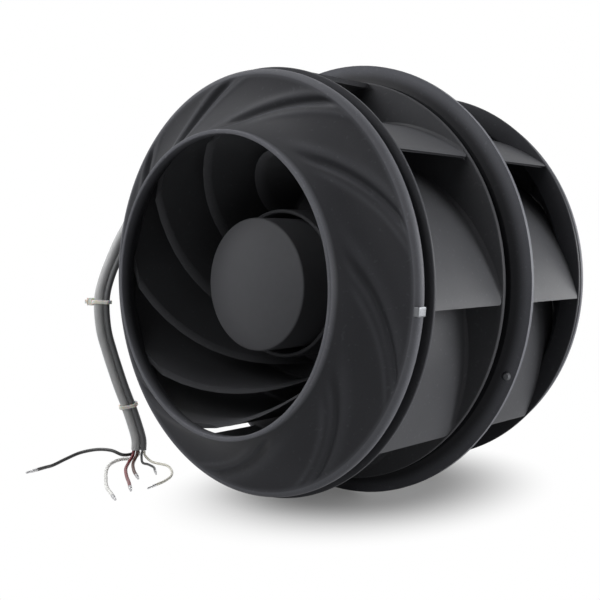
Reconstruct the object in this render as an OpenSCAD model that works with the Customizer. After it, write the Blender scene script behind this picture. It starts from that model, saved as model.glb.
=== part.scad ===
// Double-inlet fan wheel on an external-rotor motor.
// Y is the axis of rotation, the front inlet faces -Y and Z points up.
// The origin is the centre of the motor's mounting face.

/* [Wheel] */
// Diameter of the centre disc
disc_d = 272; // [260:1:284]
// How far the shroud rims stay inside the edge of the centre disc
rim_inset = 11; // [8:0.5:14]
// Thickness of the centre disc at its edge
disc_edge = 2.4; // [2:0.2:4]
// Thickness of the centre disc's web
disc_web = 3; // [2.4:0.2:4]
// Rise of the hollow flare from the disc's edge to its root
flare_h = 3.3; // [2.4:0.1:4.5]
// Axial width of one outlet, from back plate to shroud rim
outlet_w = 63.5; // [58:0.5:70]
// Thickness of a wheel's back plate
plate_t = 3; // [2:0.2:4]
// Height of the rings that hold a back plate off the centre disc
seat_h = 5.2; // [4.4:0.2:8]
// Gap between the parts that are welded together
weld_gap = 0.15; // [0.1:0.05:0.3]

/* [Shroud] */
// Outside diameter of the inlet collar
inlet_d = 174; // [166:1:180]
// Length of the straight inlet collar
collar_h = 5.3; // [4:0.1:9]
// How much larger the radius of the bell is than the width that it spans
bell_run = 5; // [3:0.5:8]
// Wall of the bell
bell_wall = 2.4; // [2:0.2:3]
// Thickness of the front lip
front_lip = 5.4; // [4.6:0.2:6]
// How far the front lip stays inside the rear lip
lip_step = 2; // [1:0.5:4]
// Width of the groove between the two lips
rim_groove = 4.6; // [4:0.2:5.4]
// Depth of the groove, down from the rear lip
groove_depth = 10; // [7:0.5:11]
// Thickness of the rear lip
rear_lip = 2; // [1.6:0.2:2.6]
// Depth of a spiral flute in the bell
flute_depth = 1.2; // [0.6:0.1:1.6]
// Width of a spiral flute
flute_w = 7; // [4:0.5:10]
// Angle of a flute to the circumference
flute_angle = 24.5; // [20:0.5:30]
// Turn of the flutes against the blades
flute_turn = 16.7; // [0:0.1:40]

/* [Blades] */
// Number of blades on each side
blades = 9; // [5:1:11]
// Thickness of a blade
blade_t = 2.6; // [2:0.2:3.6]
// Angle of a blade to the circumference
blade_angle = 19; // [17:0.5:24]
// Distance from a blade tip to the rim
tip_inset = 1.6; // [1.4:0.1:3]
// Turn of the first blade tip from the X axis
blade_turn = -4.2; // [-20:0.1:20]
// Diameter at which the blades start on the back plate
lead_d = 107; // [98:1:112]
// Radius of the swept leading edges
lead_curve = 182; // [170:1:200]

/* [Hub] */
// Outside diameter of the hub sleeves
sleeve_d = 89; // [88:1:92]
// Wall of a hub sleeve
sleeve_wall = 2.4; // [1.8:0.2:3]
// Distance from the mid plane to the end of a hub sleeve
sleeve_h = 59; // [50:1:60]

/* [Rotor] */
// Diameter of the rotor cup
rotor_d = 78; // [77:0.5:79]
// Wall of the rotor cup
rotor_wall = 3; // [2.4:0.2:3.6]
// Distance from the mid plane to the end of the rotor
rotor_h = 87; // [84:1:90]
// Rounding of the rotor's end
rotor_round = 9; // [5:1:12]
// Radius of the crown on the rotor's end
rotor_crown = 115; // [90:5:200]
// Diameter of the rotor's fixing flange
rotor_flange_d = 112; // [110:1:114]
// Thickness of the rotor's fixing flange
rotor_flange_t = 3; // [2:0.2:4]
// Distance from the flange's edge to the screws that hold the disc to it
disc_screw_edge = 6; // [5:0.5:8]
// Number of those screws
disc_screws = 6; // [3:1:8]
// Thread of those screws
disc_screw_d = 4; // [3:0.5:5]

/* [Motor] */
// Distance from the mid plane to the mounting face
mount_depth = 84; // [82:1:90]
// Diameter of the motor's mounting flange
flange_d = 104; // [102:1:108]
// Gap between the rear hub sleeve and the mounting flange
flange_gap = 3; // [2:0.5:5]
// Pitch circle of the mounting holes
mount_pcd = 94; // [93:0.5:96]
// Number of mounting holes
mount_holes = 4; // [3:1:6]
// Core diameter of the mounting threads
mount_hole_d = 4.2; // [3.3:0.1:5]
// Depth of the mounting holes
mount_hole_h = 12; // [8:1:16]
// Outside diameter of the motor's neck
neck_d = 80.4; // [79:0.2:81]
// Wall of the neck
neck_wall = 2.8; // [2:0.2:3.4]
// Diameter of the rear cover
cover_d = 84; // [82:0.5:85]
// Thickness of the rear cover
cover_t = 3; // [2:0.2:4]
// Air gap between stator and magnets
air_gap = 0.8; // [0.6:0.1:1.2]
// Radial thickness of the magnets
magnet_t = 3.2; // [2.4:0.2:4]
// Length of the magnets
magnet_h = 48; // [44:1:52]
// Length of the stator stack
stack_h = 46; // [42:1:50]
// Number of stator teeth
teeth = 12; // [9:3:12]
// Width of a stator tooth
tooth_w = 5; // [4:0.2:5.4]

/* [Bearings] */
// Diameter of the shaft
shaft_d = 8; // [7:0.5:9]
// Outside diameter of a ball bearing
bearing_d = 22; // [21:0.5:24]
// Width of a ball bearing
bearing_w = 7; // [6:0.5:8]
// Wall of the bearing tube
tube_wall = 3; // [2:0.2:4]
// Distance between the bearing shoulders
bearing_span = 57; // [54:1:60]
// Running and fitting clearance on a radius
fit = 0.05; // [0.02:0.01:0.1]

/* [Cables] */
// Diameter of the power cable
power_d = 6.8; // [6.6:0.1:7]
// Diameter of the signal cable
signal_d = 4.4; // [4:0.1:4.6]
// Diameter of a lead of the power cable
power_wire_d = 2.4; // [1.8:0.2:2.4]
// Diameter of a lead of the signal cable
signal_wire_d = 1.8; // [1.4:0.2:1.8]
// Length of a gland outside the cover
gland_h = 24; // [20:1:28]
// Wall of a gland round its cable
gland_wall = 1.6; // [1.2:0.2:2.4]
// Width of a cable tie
tie_w = 2.6; // [2:0.2:4]
// Thickness of a cable tie
tie_t = 1.2; // [1:0.1:1.6]
// Gap between a cable tie and the cables
tie_gap = 0.3; // [0.2:0.1:0.6]
// Length of a wire ferrule
ferrule_h = 10; // [6:1:12]

/* [Hidden] */
$fn = 96;
disc_r = disc_d / 2;
rim_r = disc_r - rim_inset;
inlet_r = inlet_d / 2;
tip_r = rim_r - tip_inset;
// Arc of the flare, from the rim's radius out to the disc's edge
flare_r = (pow(rim_inset, 2) + pow(flare_h, 2)) / (2 * flare_h);
// Heights on the axis, measured from the mid plane
root_z = disc_edge / 2 + flare_h;
plate_z = root_z + seat_h;
flow_z = plate_z + plate_t;
rim_z = flow_z + outlet_w;
groove_z = rim_z + rear_lip;
lip_z = groove_z + rim_groove;
front_z = lip_z + front_lip;
// The bell is an arc about this point, tangent to the flat on the front lip
lip_flat = 3;
bell_end = rim_r - lip_step - lip_flat;
bell_r = bell_end - inlet_r + bell_run;
bell_c = [bell_end, front_z + bell_r];
inlet_z = bell_join(0) + collar_h;
rim_wall = 2.5;
groove_r = rim_r - groove_depth;
web_r = groove_r - rim_wall;
fairing = 9.5;
// How far a cutter reaches past the face that it cuts
step = 1;
// Clearance on a radius for a loose hole
loose = 0.2;
// Rings that seat the back plates on the centre disc
seat_lap = 1;
seat_w = 3;
outer_seat = [web_r - seat_lap, groove_r + seat_lap];
inner_seat = [rotor_flange_d / 2 + seat_w / 2, rotor_flange_d / 2 + 1.5 * seat_w];
// Balance clip on the front lip
clip_turn = -4.6;
clip_w = 5;
clip_l = 2.5;
clip_t = 0.6;
// Balance rivet near the edge of the centre disc
rivet_turn = -22.6;
rivet_inset = 4.5;
rivet_r = 1.5;
rivet_head = 1.2;
rivet_sink = 0.4;
rivet_seat = disc_edge / 2 + rivet_sink;
// Rotor, motor neck and housing floor
rotor_r = rotor_d / 2;
cup_r = rotor_r - rotor_wall;
cup_end = -disc_web / 2 - rotor_flange_t;
disc_screw_r = rotor_flange_d / 2 - disc_screw_edge;
pole_pairs = 4;
pole_gap = 1;
neck_r = neck_d / 2;
neck_gap = 2;
neck_top = cup_end - neck_gap;
floor_t = 3.5;
neck_floor = neck_top - floor_t;
flange_h = mount_depth - sleeve_h - flange_gap;
// Shaft, bearings and the clip behind them
shaft_r = shaft_d / 2;
shaft_tail = 3.5;
circlip_t = 1;
circlip_gap = 0.2;
circlip_groove = 0.6;
circlip_rim = 2;
circlip_slot = 3;
bearing_r = bearing_d / 2;
balls = 7;
ball_d = (bearing_d - shaft_d) / 4 + 0.5;
ball_pcr = (bearing_r + shaft_r) / 2;
tube_r = bearing_r + tube_wall;
tube_step = 3;
shoulder_h = 1.5;
shoulder_r = bearing_r - shoulder_h;
rear_shoulder = 4;
front_shoulder = rear_shoulder + bearing_span;
tube_end = front_shoulder + bearing_w;
spring_h = 1;
rear_bearing = rear_shoulder - spring_h - bearing_w;
// Stator, a little in front of the middle between the bearings
magnet_r = cup_r - magnet_t;
stack_r = magnet_r - air_gap;
stack_shift = 2;
stack_z = front_shoulder / 2 + stack_shift - stack_h / 2;
yoke_t = 5;
tip_t = 2.6;
slot_w = 2.4;
coil_t = 2;
coil_gap = 0.3;
// Circuit board, rear cover and the small screws that hold them
board_drop = 24;
board_z = neck_floor - board_drop;
board_t = 1.6;
board_gap = 1;
board_hole_r = 6;
board_r = neck_r - neck_wall - board_gap;
posts = 3;
post_turn = 180 / posts;
post_inset = 6;
post_wall = 1.75;
post_r = board_r - post_inset;
cover_screw_r = cover_d / 2 - post_inset;
small_r = 1.2;
small_l = 8;
small_head_r = 2.6;
small_head_h = 1.6;
small_sink = 1.8;
small_hole_h = 9;
// X and local Y, radius and height of each capacitor
capacitors = [[16, 12, 7, 22], [16, -12, 7, 22], [-17, 0, 5, 16]];
gland_lip = 1.5;
gland_lip_h = 3;
gland_nut_h = 2;
gland_tip = 0.4;

// The routes of the cables are drawn beside a disc of this radius, and spread with the disc
route_disc_r = 136;
spread = disc_r / route_disc_r;
function placed(route) = [for (p = route) [spread * p[0], p[1], spread * p[2]]];
gland_x = -20;
gland_z = 7;
power_gland = spread * [gland_x, gland_z];
signal_gland = spread * [gland_x, -gland_z];

// Points on the cables' centre lines, from the glands to the free ends
power_route = placed([
    [gland_x, gland_h, gland_z], [gland_x, 31, gland_z],
    [-23, 42, 8], [-33, 53, 11], [-50, 59, 16], [-72, 60, 22], [-94, 55, 28], [-114, 44, 34],
    [-128, 26, 39], [-135, 4, 43], [-137, -22, 46], [-135, -52, 48], [-134, -84, 50],
    [-139, -111, 50], [-150, -133, 46], [-155, -142, 33], [-158, -150, 16],
    [-160, -157, -2], [-161, -160, -17], [-162, -158, -36], [-163, -153, -51], [-164, -147, -66],
    [-165, -141, -80], [-165, -135, -94], [-163, -131, -108], [-161, -129, -119], [-161, -129, -127]]);
signal_route = placed([
    [gland_x, gland_h, -gland_z], [gland_x, 31, -gland_z],
    [-23, 41, -6], [-33, 51, -1], [-50, 57, 6], [-72, 58, 14], [-94, 53, 21], [-114, 42, 27],
    [-128, 24, 32], [-135, 3, 36], [-137, -22, 39], [-136, -52, 41], [-136, -84, 43],
    [-139, -110, 43], [-146, -130, 41], [-150, -139, 30], [-153, -147, 15],
    [-155, -154, -2], [-156, -157, -17], [-157, -155, -36], [-158, -150, -51], [-159, -144, -66],
    [-160, -138, -80], [-160, -132, -94], [-158, -128, -108], [-156, -126, -119], [-156, -126, -127]]);
black_route = placed([
    [-163, -129, -127.5], [-163, -131, -130], [-165, -138, -130], [-172, -143, -127], [-182, -148, -127],
    [-190, -157, -129], [-192, -168, -132], [-192, -179, -134.8], [-190, -187, -134.8],
    [-188, -195, -134.8]]);
red_route = placed([
    [-161, -131, -127.5], [-161, -132, -131], [-158, -138, -134.8], [-144, -151, -134.8],
    [-127, -163, -134.8], [-111, -173, -134.8], [-102, -179, -134.8]]);
brown_route = placed([
    [-159, -129, -127.5], [-159, -130, -131], [-154, -137, -134.8], [-136, -150, -134.8],
    [-124, -157, -134.8]]);
white_route = placed([
    [-161, -127, -127.5], [-162, -126, -131], [-168, -127, -134.8], [-171, -136, -134.8],
    [-164, -150, -134.8], [-149, -164, -134.8], [-130, -178, -134.8], [-112, -190, -134.8],
    [-92, -200, -134.8]]);
ivory_route = placed([
    [-155, -126, -127.5], [-154, -126, -131], [-148, -124, -135], [-132, -124, -135],
    [-118, -131, -135], [-106, -141, -135], [-98, -153, -135], [-94, -164, -135]]);
grey_route = placed([
    [-157, -126, -127.5], [-157, -127, -131], [-152, -130, -135], [-144, -131, -135],
    [-134, -134, -135], [-125, -140, -135]]);
// Point of the route at which each cable tie sits, and the turn of its head
ties = [[18, 200], [23, 110]];

// Turns a shape that is drawn along Z, front up, onto the part's axis
module on_axis() translate([0, -mount_depth, 0]) rotate([90, 0, 0]) children();

// Round ring between two radii and two heights
module ring(r0, r1, z0, z1) translate([0, 0, z0]) difference() {
    cylinder(h = z1 - z0, r = r1);
    translate([0, 0, -step]) cylinder(h = z1 - z0 + 2 * step, r = r0);
}

module around(n, r, turn = 0) for (k = [0 : n - 1])
    rotate(turn + k * 360 / n) translate([r, 0, 0]) children();

function polar(r, a) = [r * cos(a), r * sin(a)];
function spiral(r, ref_r, beta) = ln(ref_r / r) / tan(beta) * 180 / PI;
function spiral_side(r, ref_r, beta, half) =
    polar(r, spiral(r, ref_r, beta) + half / (r * sin(beta)) * 180 / PI);

// Strip of even width along a logarithmic spiral that crosses ref_r at angle 0.
// Its end at r1 is cut square, so the outer side runs on a little further than the inner side.
function along(r0, r1, t) = r0 * pow(r1 / r0, t);
module spiral_strip(r0, r1, ref_r, beta, width, steps) {
    cut = width / 2 * cos(beta);
    near = [for (i = [0 : steps]) spiral_side(along(r0, r1 + cut, i / steps), ref_r, beta, width / 2)];
    far = [for (i = [0 : steps]) spiral_side(along(r1 - cut, r0, i / steps), ref_r, beta, -width / 2)];
    polygon(concat(near, far));
}

// Height at which the bell, moved in by a distance, runs into the collar
function bell_join(in) = bell_c[1] - sqrt(pow(bell_r + in, 2) - pow(bell_c[0] - inlet_r + in, 2));
// Height of the bell at a radius
function bell_height(r, in) = bell_c[1] - sqrt(pow(bell_r + in, 2) - pow(bell_c[0] - r, 2));

// Half section of everything inside the bell, moved in by a distance
module bell_area(in, base, top) union() {
    translate([0, base]) square([inlet_r - in, top - base]);
    difference() {
        translate([0, base]) square([bell_c[0], bell_join(in) - base]);
        translate(bell_c) circle(bell_r + in);
    }
}

// Corner where the flow leaves the bell for the fairing under the rim
fairing_start = [web_r - fairing, bell_height(web_r - fairing, bell_wall / 2)];

// Half section of a shroud: bell, fairing and the two lips of the rim
module shroud_area() difference() {
    union() {
        difference() {
            bell_area(0, rim_z, inlet_z);
            bell_area(bell_wall, rim_z - step, inlet_z + step);
        }
        polygon([fairing_start, [web_r, rim_z], [groove_r, rim_z], [groove_r, front_z - bell_wall / 2]]);
        translate([web_r, rim_z]) square([rim_r - web_r, rear_lip]);
        translate([web_r, lip_z]) square([rim_r - lip_step - web_r, front_lip]);
    }
    translate([groove_r, groove_z]) square([groove_depth + step, rim_groove]);
}

// Skin of the bell that the flutes are cut from
module flute_area() intersection() {
    difference() {
        bell_area(-step, rim_z, inlet_z);
        bell_area(flute_depth, rim_z - step, inlet_z + step);
    }
    translate([inlet_r + flute_depth, rim_z])
        square([bell_end - inlet_r - 2 * flute_depth, inlet_z - rim_z]);
}

module shroud() difference() {
    rotate_extrude() shroud_area();
    intersection() {
        translate([0, 0, front_z - flute_depth - step]) linear_extrude(inlet_z - front_z)
            for (k = [0 : blades - 1]) rotate(blade_turn + flute_turn + k * 360 / blades)
                spiral_strip(inlet_r - flute_w, rim_r, tip_r, flute_angle, flute_w, 10);
        rotate_extrude() flute_area();
    }
}

// Half section of the flow between back plate and shroud, with a gap under the shroud
module flow_area(gap) difference() {
    union() {
        bell_area(bell_wall + gap, flow_z, inlet_z);
        translate([0, flow_z]) square([rim_r, outlet_w - gap]);
    }
    translate([0, -gap]) polygon([
        fairing_start, [web_r, rim_z], [rim_r, rim_z], [rim_r, inlet_z], [fairing_start[0], inlet_z]]);
}

module blade_ring() intersection() {
    linear_extrude(inlet_z) for (k = [0 : blades - 1]) rotate(blade_turn + k * 360 / blades)
        spiral_strip(lead_d / 2 - blade_t, tip_r, tip_r, blade_angle, blade_t, 22);
    rotate_extrude() intersection() {
        flow_area(weld_gap);
        translate([lead_d / 2 + lead_curve, 0]) circle(lead_curve);
    }
}

// Back plate with the hub sleeve and the rings that seat it on the centre disc
module back_plate() {
    sleeve_r = sleeve_d / 2;
    union() {
        ring(sleeve_r - sleeve_wall, rim_r, plate_z, flow_z);
        ring(sleeve_r - sleeve_wall, sleeve_r, plate_z, sleeve_h);
        ring(outer_seat[0], outer_seat[1], root_z, flow_z);
        ring(inner_seat[0], inner_seat[1], disc_web / 2, flow_z);
    }
}

module front_shroud() color("#26272a") on_axis() shroud();
module front_blades() color("#2b2c2f") on_axis() blade_ring();
module front_plate() color("#2b2c2f") on_axis() back_plate();
module rear_plate() color("#2b2c2f") on_axis() mirror([0, 0, 1]) back_plate();
module rear_blades() color("#2b2c2f") on_axis() mirror([0, 0, 1]) blade_ring();
module rear_shroud() color("#26272a") on_axis() mirror([0, 0, 1]) shroud();

// Half section of the disc's edge, hollowed to a flare on both faces
module disc_edge_area() difference() {
    translate([outer_seat[0], -root_z]) square([disc_r - outer_seat[0], 2 * root_z]);
    for (side = [-1, 1]) intersection() {
        translate([disc_r, side * (disc_edge / 2 + flare_r)]) circle(flare_r);
        translate([rim_r, -2 * root_z]) square([disc_r, 4 * root_z]);
    }
}

module centre_disc() color("#232427") on_axis() difference() {
    rotate_extrude() union() {
        disc_edge_area();
        translate([rotor_r + loose, -disc_web / 2]) square([outer_seat[1] - rotor_r, disc_web]);
    }
    around(disc_screws, disc_screw_r)
        translate([0, 0, -disc_web]) cylinder(h = 2 * disc_web, r = disc_screw_d / 2 + loose);
    rivet_place() {
        translate([0, 0, -root_z]) cylinder(h = 2 * root_z, r = rivet_r + fit);
        for (side = [0, 1]) mirror([0, 0, side])
            translate([0, 0, rivet_seat]) cylinder(h = root_z, r = 2 * rivet_r);
    }
}

module disc_screws() color("#b9bcc0") on_axis() around(disc_screws, disc_screw_r) {
    head_h = 0.6 * disc_screw_d;
    translate([0, 0, disc_web / 2]) difference() {
        cylinder(h = head_h, r = 0.9 * disc_screw_d);
        translate([0, 0, head_h / 2]) cylinder(h = head_h, r = 0.4 * disc_screw_d, $fn = 6);
    }
    translate([0, 0, cup_end]) cylinder(h = disc_web / 2 - cup_end, r = disc_screw_d / 2 - fit);
}

// Spring clip pushed over the front lip from outside
module balance_clip() color("#d4d7da") on_axis() rotate(clip_turn)
    translate([rim_r - lip_step - clip_l, -clip_w / 2, lip_z - fit - clip_t]) difference() {
        cube([clip_l + fit + clip_t, clip_w, front_lip + 2 * (fit + clip_t)]);
        translate([-step, -step, clip_t]) cube([clip_l + fit + step, clip_w + 2 * step, front_lip + 2 * fit]);
    }

module rivet_place() rotate(rivet_turn) translate([disc_r - rivet_inset, 0, 0]) children();

module balance_rivet() color("#c9ccd0") on_axis() rivet_place() {
    cylinder(h = 2 * rivet_seat, r = rivet_r, center = true);
    for (side = [0, 1]) mirror([0, 0, side])
        translate([0, 0, rivet_seat]) cylinder(h = rivet_head, r1 = 1.6 * rivet_r, r2 = rivet_r);
}

// Half section of the rotor's outside, moved in by a wall
module rotor_area(in) {
    r = rotor_r - in;
    top = rotor_h - in;
    round = rotor_round - in;
    intersection() {
        union() {
            translate([0, cup_end - in]) square([r, top - round - cup_end + in]);
            translate([0, cup_end]) square([r - round, top - cup_end]);
            translate([r - round, top - round]) circle(round);
        }
        translate([0, rotor_h - rotor_crown]) circle(rotor_crown - in, $fn = 360);
        translate([0, cup_end - in]) square([r, top - cup_end + in]);
    }
}

module rotor_cup() color("#57585c") on_axis() difference() {
    union() {
        rotate_extrude() difference() {
            rotor_area(0);
            rotor_area(rotor_wall);
        }
        ring(cup_r, rotor_flange_d / 2, cup_end, -disc_web / 2);
        translate([0, 0, tube_end + rotor_wall])
            cylinder(h = rotor_h - 1.5 * rotor_wall - tube_end, r = 2 * shaft_r);
        translate([0, 0, tube_end + fit]) cylinder(h = rotor_wall, r = 1.4 * shaft_r);
    }
    translate([0, 0, tube_end - step])
        cylinder(h = rotor_h - rotor_wall - tube_end + step, r = shaft_r + fit);
    around(disc_screws, disc_screw_r)
        translate([0, 0, cup_end - step]) cylinder(h = rotor_flange_t + 2 * step, r = disc_screw_d / 2);
}

module rotor_magnets() color("#3c3d40") on_axis() difference() {
    ring(magnet_r, cup_r - fit, stack_z + (stack_h - magnet_h) / 2, stack_z + (stack_h + magnet_h) / 2);
    for (k = [1 : pole_pairs]) rotate(k * 180 / pole_pairs)
        translate([-rotor_r, -pole_gap / 2, stack_z - magnet_h]) cube([rotor_d, pole_gap, 3 * magnet_h]);
}

module motor_shaft() color("#c4c7ca") on_axis() difference() {
    translate([0, 0, rear_bearing - shaft_tail])
        cylinder(h = rotor_h - rotor_wall - fit - rear_bearing + shaft_tail, r = shaft_r);
    ring(shaft_r - circlip_groove, shaft_r + step,
        rear_bearing - 2 * circlip_gap - circlip_t, rear_bearing - circlip_gap / 2);
}

module circlip() color("#8b8e92") on_axis() difference() {
    ring(shaft_r - circlip_groove + fit, shaft_r + circlip_rim,
        rear_bearing - circlip_gap - circlip_t, rear_bearing - circlip_gap);
    translate([0, -circlip_slot / 2, rear_bearing - 2 * circlip_t])
        cube([shaft_d, circlip_slot, 2 * circlip_t]);
}

module at_bearings() for (z = [rear_bearing, front_shoulder]) translate([0, 0, z]) children();

module race_track() translate([0, 0, bearing_w / 2]) rotate_extrude() translate([ball_pcr, 0])
    circle(ball_d / 2 + 2 * fit);

module bearing_inner_rings() color("#a9acb0") on_axis() at_bearings() difference() {
    ring(shaft_r + fit, ball_pcr - ball_d / 4, 0, bearing_w);
    race_track();
}

module bearing_outer_rings() color("#a9acb0") on_axis() at_bearings() difference() {
    ring(ball_pcr + ball_d / 4, bearing_r - fit, 0, bearing_w);
    race_track();
}

module bearing_balls() color("#d9dbdd") on_axis() at_bearings()
    around(balls, ball_pcr) translate([0, 0, bearing_w / 2]) sphere(ball_d / 2);

module preload_spring() color("#8f9296") on_axis()
    ring(shoulder_r, bearing_r - 2 * fit, rear_shoulder - spring_h + fit, rear_shoulder - fit);

module lamination() difference() {
    union() {
        circle(tube_r + yoke_t);
        around(teeth, 0) translate([0, -tooth_w / 2]) square([stack_r - tip_t / 2, tooth_w]);
        difference() {
            circle(stack_r);
            circle(stack_r - tip_t);
            around(teeth, 0, 180 / teeth) translate([0, -slot_w / 2]) square([rotor_r, slot_w]);
        }
    }
    circle(tube_r + fit);
}

module stator_stack() color("#70737a") on_axis() translate([0, 0, stack_z])
    linear_extrude(stack_h) lamination();

// Each coil ends where its corners clear the inside of the pole tips
module stator_coils() color("#b5713a") on_axis() translate([0, 0, stack_z])
    around(teeth, tube_r + yoke_t + coil_gap) difference() {
        inside = tooth_w + 2 * coil_gap;
        reach = sqrt(pow(stack_r - tip_t - coil_gap, 2) - pow(inside / 2 + coil_t, 2));
        depth = reach - tube_r - yoke_t - coil_gap;
        translate([0, -inside / 2 - coil_t, -coil_t - coil_gap])
            cube([depth, inside + 2 * coil_t, stack_h + 2 * coil_t + 2 * coil_gap]);
        translate([-step, -inside / 2, -coil_gap]) cube([depth + 2 * step, inside, stack_h + 2 * coil_gap]);
    }

module at_posts() around(posts, post_r, post_turn) children();
module at_cover_screws() around(posts, cover_screw_r) children();

module motor_housing() color("#84878b") on_axis() difference() {
    union() {
        difference() {
            union() {
                translate([0, 0, -mount_depth]) cylinder(h = neck_top + mount_depth, r = neck_r);
                translate([0, 0, -mount_depth]) cylinder(h = flange_h, r = flange_d / 2);
                translate([0, 0, neck_floor]) cylinder(h = stack_z - neck_floor, r = tube_r + tube_step);
                translate([0, 0, neck_floor]) cylinder(h = tube_end - neck_floor, r = tube_r);
            }
            translate([0, 0, -mount_depth - step])
                cylinder(h = neck_floor + mount_depth + step, r = neck_r - neck_wall);
        }
        at_posts() translate([0, 0, board_z + board_t])
            cylinder(h = board_drop - board_t + floor_t / 2, r = small_r + post_wall);
        at_cover_screws() translate([0, 0, cover_t - mount_depth])
            cylinder(h = flange_h - cover_t, r = small_r + post_wall);
    }
    translate([0, 0, -mount_depth - step]) cylinder(h = cover_t + step, r = cover_d / 2 + fit);
    translate([0, 0, neck_floor - step]) cylinder(h = rear_shoulder - neck_floor + step, r = bearing_r);
    translate([0, 0, front_shoulder]) cylinder(h = 2 * bearing_w, r = bearing_r);
    cylinder(h = tube_end, r = shoulder_r);
    around(mount_holes, mount_pcd / 2, 180 / mount_holes) translate([0, 0, -mount_depth - step])
        cylinder(h = mount_hole_h + step, r = mount_hole_d / 2);
    at_posts() translate([0, 0, board_z]) cylinder(h = small_hole_h, r = small_r + fit);
    at_cover_screws() translate([0, 0, cover_t - mount_depth - step])
        cylinder(h = small_hole_h + step, r = small_r + fit);
}

module circuit_board() color("#1f5a3c") on_axis() difference() {
    ring(board_hole_r, board_r, board_z, board_z + board_t);
    at_posts() translate([0, 0, board_z - step]) cylinder(h = board_t + 2 * step, r = small_r + loose);
}

module board_capacitors() color("#2c2f45") on_axis() for (c = capacitors)
    translate([c[0], c[1], board_z - c[3]]) cylinder(h = c[3], r = c[2]);

module small_screw() {
    translate([0, 0, -small_head_h]) difference() {
        cylinder(h = small_head_h, r = small_head_r);
        translate([0, 0, -step]) cylinder(h = small_head_h / 2 + step, r = small_head_r / 2, $fn = 6);
    }
    cylinder(h = small_l, r = small_r);
}

module board_screws() color("#b9bcc0") on_axis() at_posts() translate([0, 0, board_z]) small_screw();

module rear_cover() color("#3a3c40") on_axis() difference() {
    translate([0, 0, -mount_depth]) cylinder(h = cover_t, r = cover_d / 2);
    at_cover_screws() translate([0, 0, -mount_depth - step]) {
        cylinder(h = cover_t + 2 * step, r = small_r + loose);
        cylinder(h = small_sink + step, r = small_head_r + loose);
    }
    for (p = [[power_gland, power_d], [signal_gland, signal_d]])
        translate([p[0][0], p[0][1], -mount_depth - step])
            cylinder(h = cover_t + 2 * step, r = p[1] / 2 + gland_wall + fit);
}

module cover_screws() color("#b9bcc0") on_axis() at_cover_screws()
    translate([0, 0, small_sink - mount_depth]) small_screw();

module gland(d) {
    r = d / 2 + gland_wall;
    translate([0, 0, -mount_depth - gland_h])
        cylinder(h = gland_h - gland_lip_h, r1 = d / 2 + gland_tip, r2 = r);
    translate([0, 0, -mount_depth - gland_lip_h]) cylinder(h = gland_lip_h, r = r + gland_lip);
    translate([0, 0, -mount_depth]) cylinder(h = cover_t, r = r);
    translate([0, 0, cover_t - mount_depth]) cylinder(h = gland_nut_h, r = r + gland_lip);
}

module cable_glands() color("#1a1a1c") on_axis()
    for (p = [[power_gland, power_d], [signal_gland, signal_d]]) translate([p[0][0], p[0][1], 0]) gland(p[1]);

// Tube swept along a route, with one ring of points for each point of the route.
// Each ring carries on the direction of the ring before it, so the tube doesn't twist.
function unit(v) = v / norm(v);
function heading(route, i) = unit(route[min(i + 1, len(route) - 1)] - route[max(i - 1, 0)]);
function carried(route, i) = i == 0 ? unit(cross(heading(route, 0), [1, 2, 0]))
    : let (t = heading(route, i), a = carried(route, i - 1)) unit(a - (a * t) * t);
module tube(route, d, sides) {
    n = len(route);
    points = [for (i = [0 : n - 1]) let (a = carried(route, i), b = cross(heading(route, i), a))
        for (k = [0 : sides - 1]) route[i] + d / 2 * (a * cos(k * 360 / sides) + b * sin(k * 360 / sides))];
    corners = [for (i = [0 : n - 2]) for (k = [0 : sides - 1])
        [i * sides + k, i * sides + (k + 1) % sides, (i + 1) * sides + (k + 1) % sides, (i + 1) * sides + k]];
    walls = [for (c = corners) each [[c[0], c[1], c[2]], [c[0], c[2], c[3]]]];
    first = [for (k = [sides - 1 : -1 : 0]) k];
    last = [for (k = [0 : sides - 1]) (n - 1) * sides + k];
    polyhedron(points, concat([first], walls, [last]));
}

module power_cable() color("#8d8f92") tube(power_route, power_d, 10);
module signal_cable() color("#55575a") tube(signal_route, signal_d, 8);
module black_lead() color("#1b1b1d") tube(black_route, power_wire_d, 8);
module red_lead() color("#6e1f26") tube(red_route, power_wire_d, 8);
module brown_lead() color("#4a2a26") tube(brown_route, power_wire_d, 8);
module white_lead() color("#e6e6e2") tube(white_route, power_wire_d, 8);
module ivory_lead() color("#d9d6c4") tube(ivory_route, signal_wire_d, 8);
module grey_lead() color("#2e3033") tube(grey_route, signal_wire_d, 8);

// Outline round both cables in the plane of a tie, moved out by a distance
module bundle_area(across, out) {
    side = unit([-across[1], across[0]]);
    power_side = side * (power_d / 2 + out);
    signal_side = side * (signal_d / 2 + out);
    circle(power_d / 2 + out);
    translate(across) circle(signal_d / 2 + out);
    polygon([power_side, across + signal_side, across - signal_side, -power_side]);
}

module cable_tie(i, head_turn) {
    lean = heading(power_route, i);
    between = signal_route[i] - power_route[i];
    across = [between[0], between[1]];
    translate(power_route[i]) rotate([atan2(lean[1], -lean[2]), 0, 0]) {
        translate([0, 0, -tie_w / 2]) linear_extrude(tie_w) difference() {
            bundle_area(across, tie_gap + tie_t);
            bundle_area(across, tie_gap);
        }
        rotate(head_turn) translate([power_d / 2 + tie_gap + 0.9 * tie_t, -tie_w * 0.7, -tie_w * 0.8])
            cube([tie_w * 1.3, tie_w * 1.4, tie_w * 1.6]);
    }
}

module cable_ties() color("#e9e7df") for (t = ties) cable_tie(t[0], t[1]);

// Crimped sleeve with a bare pin on the end of each lead
module ferrule(route, d) {
    end = route[len(route) - 1];
    along = heading(route, len(route) - 1);
    translate(end) rotate([0, 90, atan2(along[1], along[0])]) {
        cylinder(h = ferrule_h / 2, r = d / 2);
        cylinder(h = ferrule_h, r = d / 3);
    }
}

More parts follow.
